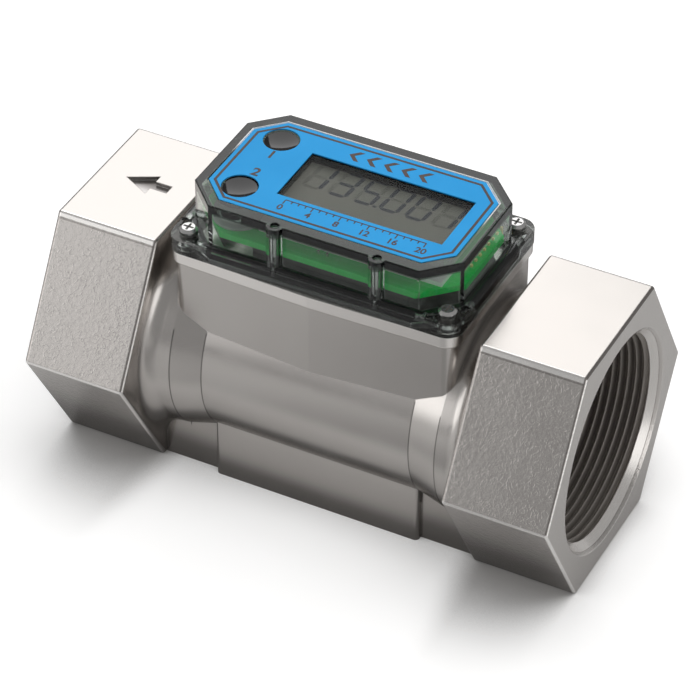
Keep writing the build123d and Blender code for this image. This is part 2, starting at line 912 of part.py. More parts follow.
def display_bezel():
    """The black frame in the cover's window, rebated for the lens."""
    frame = window_face(bezel_margin - bezel_fit) - window_face(0)
    solid = slab(frame, glass_top, label_seat)
    return solid - slab(window_face(lens_margin), label_seat - lens_thickness, label_seat)


def display_lens():
    """The clear lens over the display, under the label's edge."""
    return slab(window_face(lens_margin - lens_fit), label_seat - lens_thickness, label_seat)


def label_plate():
    """The blue plate on the cover, cut out for the window and the buttons."""
    face = octagon(label_length, label_width, label_corner) - window_face(0)
    for side in (-1, 1):
        face -= Pos(button_x, side * button_y) * Circle(button_hole_radius)
    return slab(face, label_seat, label_top)


def button(side):
    """A dished cap with a flange under the cover's top and a stem over its switch."""
    y = side * button_y
    cap_radius = button_hole_radius - button_clearance
    cap_top = label_top - button_top_drop
    stem_bottom = switch_top + button_switch_gap + button_travel
    cap = post(button_x, y, cap_radius, button_flange_bottom, cap_top)
    dish_radius = (cap_radius ** 2 + button_dish ** 2) / (2 * button_dish)
    cap -= Pos(button_x, y, cap_top + dish_radius - button_dish) * Sphere(dish_radius)
    flange_radius = button_hole_radius + button_flange_wall
    flange = post(button_x, y, flange_radius, button_flange_bottom, button_flange_top)
    stem = post(button_x, y, button_stem_radius, stem_bottom, button_flange_bottom)
    return cap + flange + stem


def button_dome(side):
    """The rubber dome round a switch, which lifts the button back."""
    top = button_flange_bottom - dome_gap
    base_top = board_top + dome_base_thickness
    inner = dome_base_radius - 2 * dome_wall
    profile = make_face(
        Plane.XZ * Polyline(
            (inner - dome_wall, board_top), (dome_base_radius, board_top),
            (dome_base_radius, base_top), (inner, base_top),
            (dome_rim_radius + dome_wall, top), (dome_rim_radius - dome_wall, top),
            (dome_rim_radius - dome_wall, top - dome_wall),
            (inner - dome_wall, base_top), close=True,
        )
    )
    return Pos(button_x, side * button_y, 0) * revolve(profile, Axis.Z)


parts = {
    "body_casting": body_casting(),
    "upstream_support": rotor_support(1),
    "downstream_support": rotor_support(-1),
    "upstream_retaining_ring": retaining_ring(1),
    "downstream_retaining_ring": retaining_ring(-1),
    "upstream_thrust_washer": thrust_washer(1),
    "downstream_thrust_washer": thrust_washer(-1),
    "rotor_shaft": rotor_shaft(),
    "turbine_rotor": turbine_rotor(),
    "rotor_bush": rotor_bush(),
    "rotor_magnets": rotor_magnets(),
    "pickup_core": pickup_core(),
    "pickup_bobbin": pickup_bobbin(),
    "pickup_winding": pickup_winding(),
    "pickup_terminals": pickup_terminals(),
    "cover_gasket": cover_gasket(),
    "clear_cover": clear_cover(),
    "cover_pins": cover_pins(),
    "cover_screws": cover_screws(),
    "circuit_board": circuit_board(),
    "header_pins": header_pins(),
    "controller_chip": controller_chip(),
    "clock_crystal": clock_crystal(),
    "front_switch": tact_switch(-1),
    "rear_switch": tact_switch(1),
    "battery_tray": battery_tray(),
    "display_holder": display_holder(),
    "contact_strips": contact_strips(),
    "display_glass": display_glass(),
    "display_bezel": display_bezel(),
    "display_lens": display_lens(),
    "label_plate": label_plate(),
    "front_button": button(-1),
    "rear_button": button(1),
    "front_button_dome": button_dome(-1),
    "rear_button_dome": button_dome(1),
}
for number, cell_x in enumerate(cell_places(), start=1):
    parts[f"coin_cell_{number}"] = coin_cell(cell_x)
    parts[f"battery_contact_{number}"] = battery_contact(cell_x)

os.makedirs("parts", exist_ok=True)
for name, part in parts.items():
    export_step(part, f"parts/{name}.step")
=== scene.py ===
import json
from math import cos, pi, radians, sin, sqrt, tau

import bmesh
import bpy
import numpy as np
from mathutils import Matrix, Vector


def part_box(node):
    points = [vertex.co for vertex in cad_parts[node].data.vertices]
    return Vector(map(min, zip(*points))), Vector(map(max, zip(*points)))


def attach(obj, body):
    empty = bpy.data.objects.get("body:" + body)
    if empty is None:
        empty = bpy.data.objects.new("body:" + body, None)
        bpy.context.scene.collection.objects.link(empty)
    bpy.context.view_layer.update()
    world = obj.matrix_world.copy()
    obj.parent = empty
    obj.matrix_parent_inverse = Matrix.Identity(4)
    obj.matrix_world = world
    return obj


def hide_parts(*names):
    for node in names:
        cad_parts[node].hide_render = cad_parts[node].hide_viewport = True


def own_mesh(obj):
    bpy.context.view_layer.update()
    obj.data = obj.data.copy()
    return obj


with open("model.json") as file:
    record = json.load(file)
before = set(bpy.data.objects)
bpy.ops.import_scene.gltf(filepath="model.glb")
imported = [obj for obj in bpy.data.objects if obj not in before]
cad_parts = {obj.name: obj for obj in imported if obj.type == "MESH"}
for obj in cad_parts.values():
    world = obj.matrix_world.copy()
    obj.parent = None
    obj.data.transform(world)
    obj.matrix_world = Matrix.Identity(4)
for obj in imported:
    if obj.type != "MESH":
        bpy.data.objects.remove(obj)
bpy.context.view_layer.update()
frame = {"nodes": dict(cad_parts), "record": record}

# Sizes in millimetres, which become metres where a mesh is made
MM = 0.001

frame_axis_height = frame["record"]["behaviour"]["joints"][0]["pos_m"][2] / MM

# Camera
camera_azimuth = 27.03
camera_elevation = 38.91
camera_roll = 0.21
camera_target = (-0.73, 0.0, 38.31)
camera_distance = 972.5
camera_lens = 188.68
camera_sensor = 36
camera_clip = (0.05, 20)

# Pipe thread in each end
thread_pitch = 2.209
thread_height = 1.75
thread_flat = 0.14
thread_taper = 1 / 32
thread_root = 30.08
thread_length = 25.6
thread_runout = 3.0
thread_start = 2.3
thread_runin = 2.0
mouth_radius = 30.97
mouth_slope = 0.871
sleeve_radius = 30.13
thread_rows_per_turn = 20
thread_columns = 192
thread_setback = 0.01
mouth_clearance = 0.02
lead_in_depths = (3.0, 3.6)

# Display digits
digit_pitch = 7.4
first_digit_x = -12.4
digit_bottom = 0.1
digit_height = 9.9
digit_width = 4.7
digit_lean = 0.1
stroke_width = 1.15
stroke_gap = 0.14
shown_digits = "135.001"
point_size = 0.9
segment_ends = {
    "a": ((0, 2), (1, 2)), "b": ((1, 2), (1, 1)), "c": ((1, 1), (1, 0)), "d": ((0, 0), (1, 0)),
    "e": ((0, 1), (0, 0)), "f": ((0, 2), (0, 1)), "g": ((0, 1), (1, 1)),
}
digit_segments = {"0": "abcdef", "1": "bc", "3": "abcdg", "5": "acdfg"}

# Prints on the label
print_thickness = 0.03
border_inset = 1.1
border_width = 0.72
label_corner = 6.6
button_numeral_size = 4.6
button_numeral_x = -26.0
button_numeral_y = 4.3
scale_start = -13.5
scale_end = 26.5
scale_steps = 20
steps_per_numeral = 4
scale_top = -11.3
tick_width = 0.34
short_tick = 1.0
long_tick = 1.8
scale_numeral_size = 3.0
scale_numeral_drop = 0.55
numeral_boldness = 0.025
chevron_x = 4.0
chevron_pitch = 5.0
chevron_count = 5
chevron_reach = 2.1
chevron_thickness = 1.5

# Button domes
dome_base_radius = 6.8
dome_rim_radius = 4.4
dome_wall = 0.7
dome_points = 64

# Painted shade lines along the body's two turned creases: their distances from the middle, and where they
# fade out upwards and away from the pipe's axis
crease_stations = (30.4, 38.8)
crease_width = 0.3
crease_strength = 0.75
crease_fade_height = (50.0, 50.6)
crease_fade_radius = (30.7, 31.1)

# Places on the body, most of them where light or shade is painted into the steel's colour, and the
# reaches of the painted shade in corners and thread roots. The arrow's depths are below the hexagon's
# top, and the rim shadow's span is below the rim.
hexagon_start = (46.1, 47.1)
hexagon_top = 2 * frame_axis_height
lip_height = 3.7
lip_reach = 45.5
rim_width = 1.1
rim_blend = 0.4
rim_shadow_span = (0.6, 0.35)
rim_shadow_strength = 0.6
arrow_span = (-68.0, -54.0)
arrow_half_width = 5.0
arrow_depths = (1.5, 0.4)
arrow_shade_span = (-4.0, 2.0)
mouth_edge_radius = (33.0, 33.4)
beyond_top = 1.0
corner_reach = 4.5
groove_reach = 1.6

# Cast surface of the hexagons
wrinkle_size = 1.3
wrinkle_width = 0.07
wrinkle_height = 0.015
wrinkle_patch_size = 3.4
swell_size = 1.0
swell_height = 0.06
grain_size = 0.25
grain_height = 0.003

# The cover's rim, darkened by painted shade, and the seam between it and the label, whitened by a painted
# highlight
rim_shade_depth = 2.6
seam_depth = 0.6
seam_start = (0.1, 0.2)
seam_end = (0.55, 0.7)
seam_side = (-2.0, 6.0)

# Share of a lamp's light that each layer of clear plastic lets through
lamp_pass = 0.94

# Soft boxes: place and size in metres, radiance, and whether they light matt and mirror surfaces
lamp_aim = (0, 0, 0.04)
soft_boxes = {
    "key_soft_box": ((-0.59, 0.59, 0.93), (1.18, 1.1), 1.65, False, True),
    "left_soft_box": ((-1.08, -0.68, 0.27), (0.75, 0.62), 1.2, False, True),
    "right_soft_box": ((1.1, -0.35, 0.28), (0.6, 0.6), 1.2, False, True),
    "front_soft_box": ((-0.76, -1.05, 0.42), (0.64, 0.6), 0.65, True, True),
    "top_soft_box": ((0.3, 0.3, 1.3), (1.4, 1.4), 2.15, True, False),
}

# The room's light: even, and lower round one direction
room_direction = (-0.35, 0.65, 0.55)
room_span = (0.5, 0.95)
room_levels = (0.34, 0.2)

# The floor: its size in metres, its greys as the object mirrors them, painted by zone as light and shade,
# and its painted shadow where it is seen
floor_radius = 0.9
floor_points = 96
floor_first_grey = 226
floor_zones = (("X", -90, 40, 168), ("Y", -76, -50, 244), ("Y", -31, -25, 150), ("X", 60, 90, 212))
shadow_distance = 46
shadow_relief = 0.3
shadow_relief_reach = 40
shadow_relief_blend = 12
shadow_span = (0.3, 0.97)
floor_lift = 0.62


def srgb(red, green, blue):
    """A colour written as 0 to 255, in Blender's linear values."""
    def channel(value):
        share = value / 255
        return share / 12.92 if share <= 0.04045 else ((share + 0.055) / 1.055) ** 2.4
    return (channel(red), channel(green), channel(blue), 1.0)


def grey(value):
    """A grey written as 0 to 255."""
    return srgb(value, value, value)


def top_of(node):
    """The height of a CAD node's top, in millimetres."""
    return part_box(node)[1].z / MM


class Finish:
    """A material with procedural colour, roughness and bump, read in the object's own space."""

    def __init__(self, name, **sockets):
        self.material = bpy.data.materials.new(name)
        self.material.use_nodes = True
        self.tree = self.material.node_tree
        self.shader = self.tree.nodes["Principled BSDF"]
        for socket, value in sockets.items():
            self.shader.inputs[socket.replace("_", " ")].default_value = value
        self.place = self.add("ShaderNodeTexCoord").outputs["Object"]

    def add(self, kind, **settings):
        node = self.tree.nodes.new(kind)
        for key, value in settings.items():
            setattr(node, key, value)
        return node

    def feed(self, socket, value):
        """Links a socket to another, or sets its value."""
        if isinstance(value, bpy.types.NodeSocket):
            self.tree.links.new(value, socket)
        else:
            socket.default_value = value

    def noise(self, size, detail=2.0, stretch=(1, 1, 1)):
        """Noise whose blotches are about size millimetres across, drawn out by stretch."""
        mapping = self.add("ShaderNodeMapping")
        mapping.inputs["Scale"].default_value = [1 / (size * MM * share) for share in stretch]
        texture = self.add("ShaderNodeTexNoise")
        self.feed(mapping.inputs["Vector"], self.place)
        self.feed(texture.inputs["Vector"], mapping.outputs["Vector"])
        texture.inputs["Scale"].default_value = 1.0
        texture.inputs["Detail"].default_value = detail
        return texture.outputs["Fac"]

    def axis(self, letter):
        """One coordinate of the surface point, in metres."""
        split = self.add("ShaderNodeSeparateXYZ")
        self.feed(split.inputs[0], self.place)
        return split.outputs[letter]

    def spread(self, value, low, high, from_low=0.3, from_high=0.7):
        """A value brought from one range into another."""
        node = self.add("ShaderNodeMapRange", interpolation_type="SMOOTHSTEP")
        for socket, amount in zip(node.inputs, (value, from_low, from_high, low, high)):
            self.feed(socket, amount)
        return node.outputs["Result"]

    def past(self, value, start, end):
        """0 up to one place in millimetres, rising to 1 at another."""
        return self.spread(value, 0.0, 1.0, start * MM, end * MM)

    def short_of(self, value, start, end):
        """1 up to one place in millimetres, falling to 0 at another."""
        return self.spread(value, 1.0, 0.0, start * MM, end * MM)

    def maths(self, operation, first, second=0.0):
        node = self.add("ShaderNodeMath", operation=operation)
        self.feed(node.inputs[0], first)
        self.feed(node.inputs[1], second)
        return node.outputs["Value"]

    def size_of(self, value):
        """A value without its sign."""
        return self.maths("ABSOLUTE", value)

    def times(self, first, *others):
        """The product of several values."""
        product = first
        for other in others:
            product = self.maths("MULTIPLY", product, other)
        return product

    def mix_values(self, factor, first, second):
        """A blend of two numbers."""
        node = self.add("ShaderNodeMix")
        for socket, value in zip(node.inputs[:4], (factor, None, first, second)):
            if value is not None:
                self.feed(socket, value)
        return node.outputs["Result"]

    def mix(self, factor, first, second):
        """A blend of two colours."""
        node = self.add("ShaderNodeMix", data_type="RGBA")
        self.feed(node.inputs["Factor"], factor)
        self.feed(node.inputs[6], first)
        self.feed(node.inputs[7], second)
        return node.outputs[2]

    def within(self, letter, low, high, blend=0.05):
        """1 where a coordinate lies between two values in millimetres, and 0 beyond them."""
        middle = (low + high) / 2
        half = (high - low) / 2
        away = self.size_of(self.maths("SUBTRACT", self.axis(letter), middle * MM))
        return self.short_of(away, half, half + blend)

    def crevices(self, distance):
        """1 on open faces, falling to 0 in the corners within a distance in millimetres."""
        node = self.add("ShaderNodeAmbientOcclusion", samples=8, only_local=True)
        node.inputs["Distance"].default_value = distance * MM
        return node.outputs["AO"]

    def edges(self, radius):
        """The surface normal with its edges softened over a radius in millimetres."""
        node = self.add("ShaderNodeBevel", samples=4)
        node.inputs["Radius"].default_value = radius * MM
        return node.outputs["Normal"]

    def facing(self):
        """The surface normal's three parts."""
        split = self.add("ShaderNodeSeparateXYZ")
        self.feed(split.inputs[0], self.add("ShaderNodeNewGeometry").outputs["Normal"])
        return split

    def off_axis(self):
        """The distance from the pipe's axis, in metres."""
        across = self.axis("Y")
        rise = self.maths("SUBTRACT", self.axis("Z"), frame_axis_height * MM)
        squares = self.maths("ADD", self.times(across, across), self.times(rise, rise))
        return self.maths("SQRT", squares)

    def rounded_edges(self):
        """The hexagons' rounded edges, found by the normal: those along the flats and at the ends
        low down, then those at the ends on top."""
        facing = self.facing()
        angle = self.maths("ARCTAN2", facing.outputs["Z"], facing.outputs["Y"])
        wave = self.maths("COSINE", self.maths("MULTIPLY", angle, 6.0))
        endward = self.size_of(facing.outputs["X"])
        off_side = self.spread(endward, 0.0, 1.0, 0.08, 0.3)
        off_end = self.spread(endward, 1.0, 0.0, 0.8, 0.96)
        at_end = self.times(off_side, off_end)
        along = self.times(self.spread(wave, 0.0, 1.0, -0.9, -0.2), off_end)
        top_end = self.times(at_end, self.spread(facing.outputs["Z"], 0.0, 1.0, 0.3, 0.5))
        low_end = self.maths("SUBTRACT", at_end, top_end)
        return self.maths("MAXIMUM", along, low_end), top_end

    def bump(self, height, depth, normal=None):
        """Bumps up to depth millimetres high."""
        node = self.add("ShaderNodeBump")
        node.inputs["Distance"].default_value = depth * MM
        self.feed(node.inputs["Height"], height)
        if normal is not None:
            self.feed(node.inputs["Normal"], normal)
        return node.outputs["Normal"]

    def let_lamps_through(self):
        """Lets lamplight in through clear plastic, which still bends and mirrors what is seen."""
        path = self.add("ShaderNodeLightPath")
        shade = self.times(path.outputs["Is Shadow Ray"], lamp_pass)
        self.feed(self.shader.inputs["Alpha"], self.maths("SUBTRACT", 1.0, shade))

    def wear(self, colour=None, rough=None, normal=None):
        """Feeds the shader its colour, roughness and normal, and returns the material."""
        for socket, value in (("Base Color", colour), ("Roughness", rough), ("Normal", normal)):
            if value is not None:
                self.feed(self.shader.inputs[socket], value)
        return self.material


def steel_relief(f, place):
    """The cast surface's height in millimetres: wrinkles and swells in their place, grain all over."""
    ridge = f.size_of(f.maths("SUBTRACT", f.noise(wrinkle_size, 1.0, (1.2, 1, 1)), 0.5))
    patches = f.spread(f.noise(wrinkle_patch_size, 1.0), 0.35, 1.0, 0.35, 0.6)
    wrinkle = f.times(f.spread(ridge, 1.0, 0.0, 0.0, wrinkle_width), patches, wrinkle_height)
    swell = f.times(f.noise(swell_size, 2.0, (1.4, 1, 1)), swell_height)
    cast = f.times(f.maths("ADD", swell, wrinkle), place)
    return f.maths("ADD", cast, f.times(f.noise(grain_size, 2.0), grain_height))


def steel_creases(f, colour):
    """The steel's colour with painted shade lines along its two turned creases."""
    low = f.short_of(f.axis("Z"), *crease_fade_height)
    turned = f.times(low, f.short_of(f.off_axis(), *crease_fade_radius))
    for station in crease_stations:
        away = f.size_of(f.maths("SUBTRACT", f.size_of(f.axis("X")), station * MM))
        line = f.spread(away, crease_strength, 0.0, 0.0, crease_width * MM)
        colour = f.mix(f.times(line, turned), colour, srgb(70, 66, 63))
    return colour


def steel_arrow(f, colour):
    """The steel's colour with painted shade on the floor of the sunk arrow, dark at the back and light at
    the front.
    """
    sunk = f.times(
        f.within("X", *arrow_span),
        f.within("Y", -arrow_half_width, arrow_half_width),
        f.within("Z", hexagon_top - arrow_depths[0], hexagon_top - arrow_depths[1], 0.3),
    )
    across = f.past(f.axis("Y"), *arrow_shade_span)
    return f.mix(sunk, colour, f.mix(across, srgb(206, 202, 200), srgb(100, 96, 94)))


def cast_steel():
    """Satin stainless casting: wrinkled hexagons, turned barrel and fine grain, with painted shade along
    the two creases, in corners, under the hexagons' rim and on the arrow's floor, a lighter painted lip,
    and painted highlights and shade along the rounded edges and rim.
    """
    f = Finish("cast_steel", Metallic=1.0)
    on_hexagon = f.past(f.size_of(f.axis("X")), *hexagon_start)
    rise = f.facing().outputs["Z"]
    sloping = f.times(on_hexagon, f.spread(rise, 0.0, 1.0, 0.3, 0.45))
    rim_low = hexagon_top - rim_width
    rim = f.times(sloping, f.within("Z", rim_low, hexagon_top + beyond_top, rim_blend))
    off_top = f.times(on_hexagon, f.spread(rise, 1.0, 0.0, 0.7, 0.95))
    height = steel_relief(f, f.times(off_top, f.maths("SUBTRACT", 1.0, rim)))

    patches = f.noise(16.0, 2.0)
    # A random tone, then painted shade lines along the creases
    colour = steel_creases(f, f.mix(patches, srgb(196, 191, 187), srgb(203, 199, 195)))
    # Painted shade: the colour darkens in corners, within corner_reach of other faces
    colour = f.mix(f.spread(f.crevices(corner_reach), 0.5, 0.0, 0.35, 0.85), colour, srgb(58, 55, 52))
    top = top_of("body_casting")
    # Painted light: the band of the lip is made lighter than the rest of the steel
    lit_lip = f.times(f.within("Z", top - lip_height, top + beyond_top), f.within("X", -lip_reach, lip_reach))
    colour = steel_arrow(f, f.mix(lit_lip, colour, srgb(240, 236, 232)))

    rim_shadow = f.within("Z", *(rim_low - below for below in rim_shadow_span), 0.2)
    colour = f.mix(f.times(rim_shadow, sloping, rim_shadow_strength), colour, srgb(130, 125, 121))
    flat = f.times(on_hexagon, f.spread(rise, 1.0, 0.0, 0.7, 0.9))
    # Painted highlights on the rounded edges along the flats and low ends, and painted shade on the ends'
    # top edges
    edge_highlight, edge_shade = f.rounded_edges()
    outer = f.times(on_hexagon, f.past(f.off_axis(), *mouth_edge_radius))
    colour = f.mix(f.times(edge_highlight, outer), colour, srgb(252, 249, 246))
    # Painted highlight: a near-white band along the rim of the hexagons' tops
    colour = f.mix(f.times(rim, flat), colour, srgb(246, 243, 240))
    colour = f.mix(f.times(edge_shade, outer), colour, srgb(160, 154, 150))
    return f.wear(colour, f.spread(patches, 0.23, 0.27), f.bump(height, 1.0, f.edges(0.3)))


def thread_steel():
    """Freshly cut thread, with fine turning lines, painted shade in the roots and a bright lead-in."""
    f = Finish("thread_steel", Metallic=0.75)
    lines = f.noise(0.12, 2.0, (1, 80, 80))
    patches = f.noise(6.0, 3.0)
    colour = f.mix(patches, srgb(156, 150, 144), srgb(168, 162, 156))
    # Painted shade: the colour darkens in the thread's roots, within groove_reach
    colour = f.mix(f.spread(f.crevices(groove_reach), 0.4, 0.0, 0.3, 0.75), colour, srgb(112, 102, 95))
    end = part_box("body_casting")[1].x / MM
    lead_in, thread = (end - depth for depth in lead_in_depths)
    deep = f.short_of(f.size_of(f.axis("X")), thread, lead_in)
    colour = f.mix(deep, srgb(226, 222, 218), colour)
    rough = f.mix_values(deep, 0.26, f.spread(patches, 0.55, 0.62))
    return f.wear(colour, rough, f.bump(lines, 0.01))


def moulded(name, first, second, rough=(0.32, 0.45), depth=0.012):
    """Moulded plastic or rubber: two close colours in soft blotches, and a fine grain."""
    f = Finish(name)
    patches = f.noise(9.0, 3.0)
    fine = f.noise(0.3, 2.0)
    return f.wear(
        f.mix(f.spread(patches, 0.0, 1.0), first, second),
        f.spread(fine, *rough),
        f.bump(fine, depth, f.edges(0.15)),
    )


def bright_metal(name, first, second, rough=(0.14, 0.26)):
    """Bright metal with faint rubbing marks and slightly tarnished patches."""
    f = Finish(name, Metallic=1.0)
    patches = f.noise(2.5, 3.0)
    marks = f.noise(0.15, 2.0)
    return f.wear(
        f.mix(f.spread(patches, 0.0, 1.0), first, second),
        f.spread(marks, *rough),
        f.bump(marks, 0.006, f.edges(0.12)),
    )


def label_seam(f, top):
    """The narrow seam round the back half of the label, on top of the cover."""
    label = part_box("label_plate")[1] / MM
    across, deep = f.size_of(f.axis("X")), f.size_of(f.axis("Y"))
    beyond_end = f.maths("SUBTRACT", across, label.x * MM)
    beyond_side = f.maths("SUBTRACT", deep, label.y * MM)
    corner_sum = (label.x + label.y - label_corner) * MM
    beyond_corner = f.maths("SUBTRACT", f.maths("ADD", across, deep), corner_sum)
    beyond = f.maths("MAXIMUM", beyond_end, beyond_side)
    beyond = f.maths("MAXIMUM", beyond, f.times(beyond_corner, sqrt(0.5)))
    return f.times(
        f.short_of(beyond, *seam_end),
        f.past(beyond, *seam_start),
        f.within("Z", top - seam_depth, top + beyond_top, 0.1),
        f.past(f.axis("Y"), *seam_side),
    )


def smoky_cover():
    """Clear, lightly smoked and polished plastic, with painted shade round its top and a painted
    highlight at the label's seam.
    """
    f = Finish("smoky_cover", Transmission_Weight=1.0, IOR=1.49, Specular_IOR_Level=0.2)
    f.let_lamps_through()
    mirroring = f.spread(f.facing().outputs["Z"], 0.9, 0.2, 0.85, 0.99)
    f.feed(f.shader.inputs["Specular IOR Level"], mirroring)
    haze = f.noise(7.0, 2.0)
    colour = f.mix(f.spread(haze, 0.0, 1.0), srgb(230, 237, 233), srgb(236, 242, 239))
    top = top_of("clear_cover")
    # Painted shade: a dark band round the top of the cover
    colour = f.mix(f.within("Z", top - rim_shade_depth, top + beyond_top, 0.4), colour, srgb(84, 98, 90))
    # Painted highlight: the seam behind the label is made white and not clear
    seam = label_seam(f, top)
    colour = f.mix(seam, colour, srgb(250, 251, 251))
    f.feed(f.shader.inputs["Transmission Weight"], f.maths("SUBTRACT", 1.0, seam))
    return f.wear(colour, f.spread(haze, 0.015, 0.04), f.bump(haze, 0.01, f.edges(0.45)))


def clear_lens():
    """The clear lens over the display."""
    f = Finish("clear_lens", Transmission_Weight=1.0, IOR=1.12)
    f.let_lamps_through()
    haze = f.noise(12.0, 2.0)
    colour = f.mix(f.spread(haze, 0.0, 1.0), srgb(246, 248, 247), srgb(250, 251, 250))
    return f.wear(colour, f.spread(haze, 0.0, 0.012), f.bump(haze, 0.002))


def green_board():
    """Solder mask over copper tracks, which show as slightly raised paler lines."""
    f = Finish("green_board", Coat_Weight=0.3, Coat_Roughness=0.2)
    tracks = f.add("ShaderNodeTexBrick", offset=0.37, squash=0.7, squash_frequency=3)
    for socket, value in (
        ("Scale", 1.0), ("Mortar Size", 0.16 * MM), ("Brick Width", 7.1 * MM),
        ("Row Height", 2.3 * MM), ("Mortar Smooth", 0.4),
    ):
        tracks.inputs[socket].default_value = value
    f.feed(tracks.inputs["Vector"], f.place)
    patches = f.noise(5.0, 3.0)
    colour = f.mix(patches, srgb(0, 212, 80), srgb(6, 226, 92))
    colour = f.mix(f.times(tracks.outputs["Fac"], 0.6), colour, srgb(50, 226, 120))
    return f.wear(colour, f.spread(patches, 0.3, 0.42), f.bump(tracks.outputs["Fac"], 0.03))


def display_grey():
    """The liquid crystal cell: grey, with a fine polariser grain and a faint green cast."""
    f = Finish("display_grey")
    grain = f.noise(0.3, 1.0)
    cast = f.noise(18.0, 2.0)
    colour = f.mix(f.spread(cast, 0.0, 1.0), srgb(103, 103, 95), srgb(109, 109, 101))
    return f.wear(colour, f.spread(grain, 0.5, 0.58), f.bump(grain, 0.003))


def blue_film():
    """The label's printed film, with a very fine satin grain."""
    f = Finish("blue_film", Specular_IOR_Level=0.15)
    grain = f.noise(0.22, 2.0)
    cast = f.noise(16.0, 2.0)
    colour = f.mix(f.spread(cast, 0.0, 1.0), srgb(38, 160, 229), srgb(44, 166, 235))
    return f.wear(colour, f.spread(grain, 0.42, 0.52), f.bump(grain, 0.006, f.edges(0.15)))


def wound_copper():
    """Enamelled wire laid in close turns."""
    f = Finish("wound_copper", Metallic=1.0, Coat_Weight=0.5)
    wave = f.add("ShaderNodeTexWave", bands_direction="Z")
    f.feed(wave.inputs["Vector"], f.place)
    wave.inputs["Scale"].default_value = 1000.0
    wave.inputs["Distortion"].default_value = 0.4
    turns = wave.outputs["Fac"]
    colour = f.mix(turns, srgb(120, 56, 24), srgb(196, 112, 60))
    return f.wear(colour, f.spread(turns, 0.25, 0.4), f.bump(turns, 0.05))


def make_piece(name, vertices, faces, material, slot, body="root", sharp=35):
    """A mesh piece in millimetres that rides on a body."""
    mesh = bpy.data.meshes.new(name)
    mesh.from_pydata([tuple(value * MM for value in vertex) for vertex in vertices], [], faces)
    shell = bmesh.new()
    shell.from_mesh(mesh)
    bmesh.ops.recalc_face_normals(shell, faces=shell.faces)
    shell.to_mesh(mesh)
    shell.free()
    mesh.shade_smooth()
    mesh.set_sharp_from_angle(angle=radians(sharp))
    mesh.materials.append(material)
    piece = bpy.data.objects.new(name, mesh)
    bpy.context.scene.collection.objects.link(piece)
    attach(piece, body)
    return piece


def prisms(outlines, bottom, top):
    """Vertices and faces of upright pieces, each from its plan outline."""
    vertices, faces = [], []
    for outline in outlines:
        start, count = len(vertices), len(outline)
        vertices += [(x, y, z) for z in (bottom, top) for x, y in outline]
        faces.append([start + index for index in range(count)])
        faces.append([start + count + index for index in range(count)])
        for index in range(count):
            after = (index + 1) % count
            faces.append([start + index, start + after, start + count + after, start + count + index])
    return vertices, faces


def loops(rings):
    """Vertices and faces of a skin over rings of equal size, the last joined to the first."""
    vertices = [point for ring in rings for point in ring]
    size, count = len(rings[0]), len(rings)
    faces = []
    for row in range(count):
        below = (row + 1) % count
        for column in range(size):
            after = (column + 1) % size
            faces.append([row * size + column, row * size + after,
                          below * size + after, below * size + column])
    return vertices, faces


def octagon(length, width, corner):
    """A rectangle about the origin with its corners cut off at 45 degrees."""
    x, y = length / 2, width / 2
    return [(x, corner - y), (x, y - corner), (x - corner, y), (corner - x, y),
            (-x, y - corner), (-x, corner - y), (corner - x, -y), (x - corner, -y)]


def thread_radius(depth, phase):
    """The hole's radius at a depth from the pipe's end, by the phase of the helix there."""
    to_crest = 1 - np.abs(2 * (phase % 1) - 1)
    groove = 1 - np.clip((to_crest - thread_flat) / (1 - 2 * thread_flat), 0, 1)
    fade_in = np.clip((depth - thread_start) / thread_runin, 0, 1)
    fade_out = np.clip((thread_length - depth) / thread_runout, 0, 1)
    root = thread_root - depth * thread_taper
    radius = root - thread_height * (1 - groove * fade_in) * fade_out
    return np.maximum(radius, mouth_radius - mouth_slope * depth)


def pipe_thread(side, material):
    """The tapered thread in one end, a sleeve that lines the bore out to its lead-in."""
    low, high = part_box("body_casting")
    end = (high.x - low.x) / 2 / MM
    turns = np.linspace(0, 1, thread_columns, endpoint=False)
    angles = turns * tau
    rows = int(thread_length / thread_pitch * thread_rows_per_turn)
    rings = []
    for depth in np.linspace(thread_setback, thread_length, rows):
        station = side * (end - depth)
        radius = thread_radius(depth, station / thread_pitch - turns)
        rings.append(list(zip(
            np.full(thread_columns, station),
            radius * np.cos(angles),
            frame_axis_height + radius * np.sin(angles),
        )))
    outer_mouth = mouth_radius + mouth_clearance
    mouth_depth = (outer_mouth - sleeve_radius) / mouth_slope
    for depth, radius in (
        (thread_length, sleeve_radius), (mouth_depth, sleeve_radius), (thread_setback, outer_mouth),
    ):
        station = side * (end - depth)
        rings.append([(station, radius * cos(a), frame_axis_height + radius * sin(a)) for a in angles])
    vertices, faces = loops(rings)
    name = "inlet_thread_form" if side > 0 else "outlet_thread_form"
    return make_piece(name, vertices, faces, material, "cast_stainless", sharp=80)


def rectangle(left, right, front, back):
    """A rectangle as an outline."""
    return [(left, front), (right, front), (right, back), (left, back)]


def square_outline(x, y, width):
    """A square about a point."""
    half = width / 2
    return rectangle(x - half, x + half, y - half, y + half)


def stroke(start, end):
    """One bar of a digit, with pointed ends."""
    start, end = Vector(start), Vector(end)
    along = (end - start).normalized()
    across = Vector((-along.y, along.x)) * stroke_width / 2
    near = start + along * stroke_gap
    far = end - along * stroke_gap
    taper = along * stroke_width / 2
    points = (near, near + taper + across, far - taper + across, far, far - taper - across,
              near + taper - across)
    return [tuple(point) for point in points]


def digit_bars(place, letters):
    """The named bars of the digit in one place, each as an outline."""
    center = first_digit_x + place * digit_pitch
    outlines = []
    for letter in letters:
        ends = []
        for column, row in segment_ends[letter]:
            rise = row * digit_height / 2
            ends.append((center + (column - 0.5) * digit_width + rise * digit_lean, digit_bottom + rise))
        outlines.append(stroke(*ends))
    return outlines


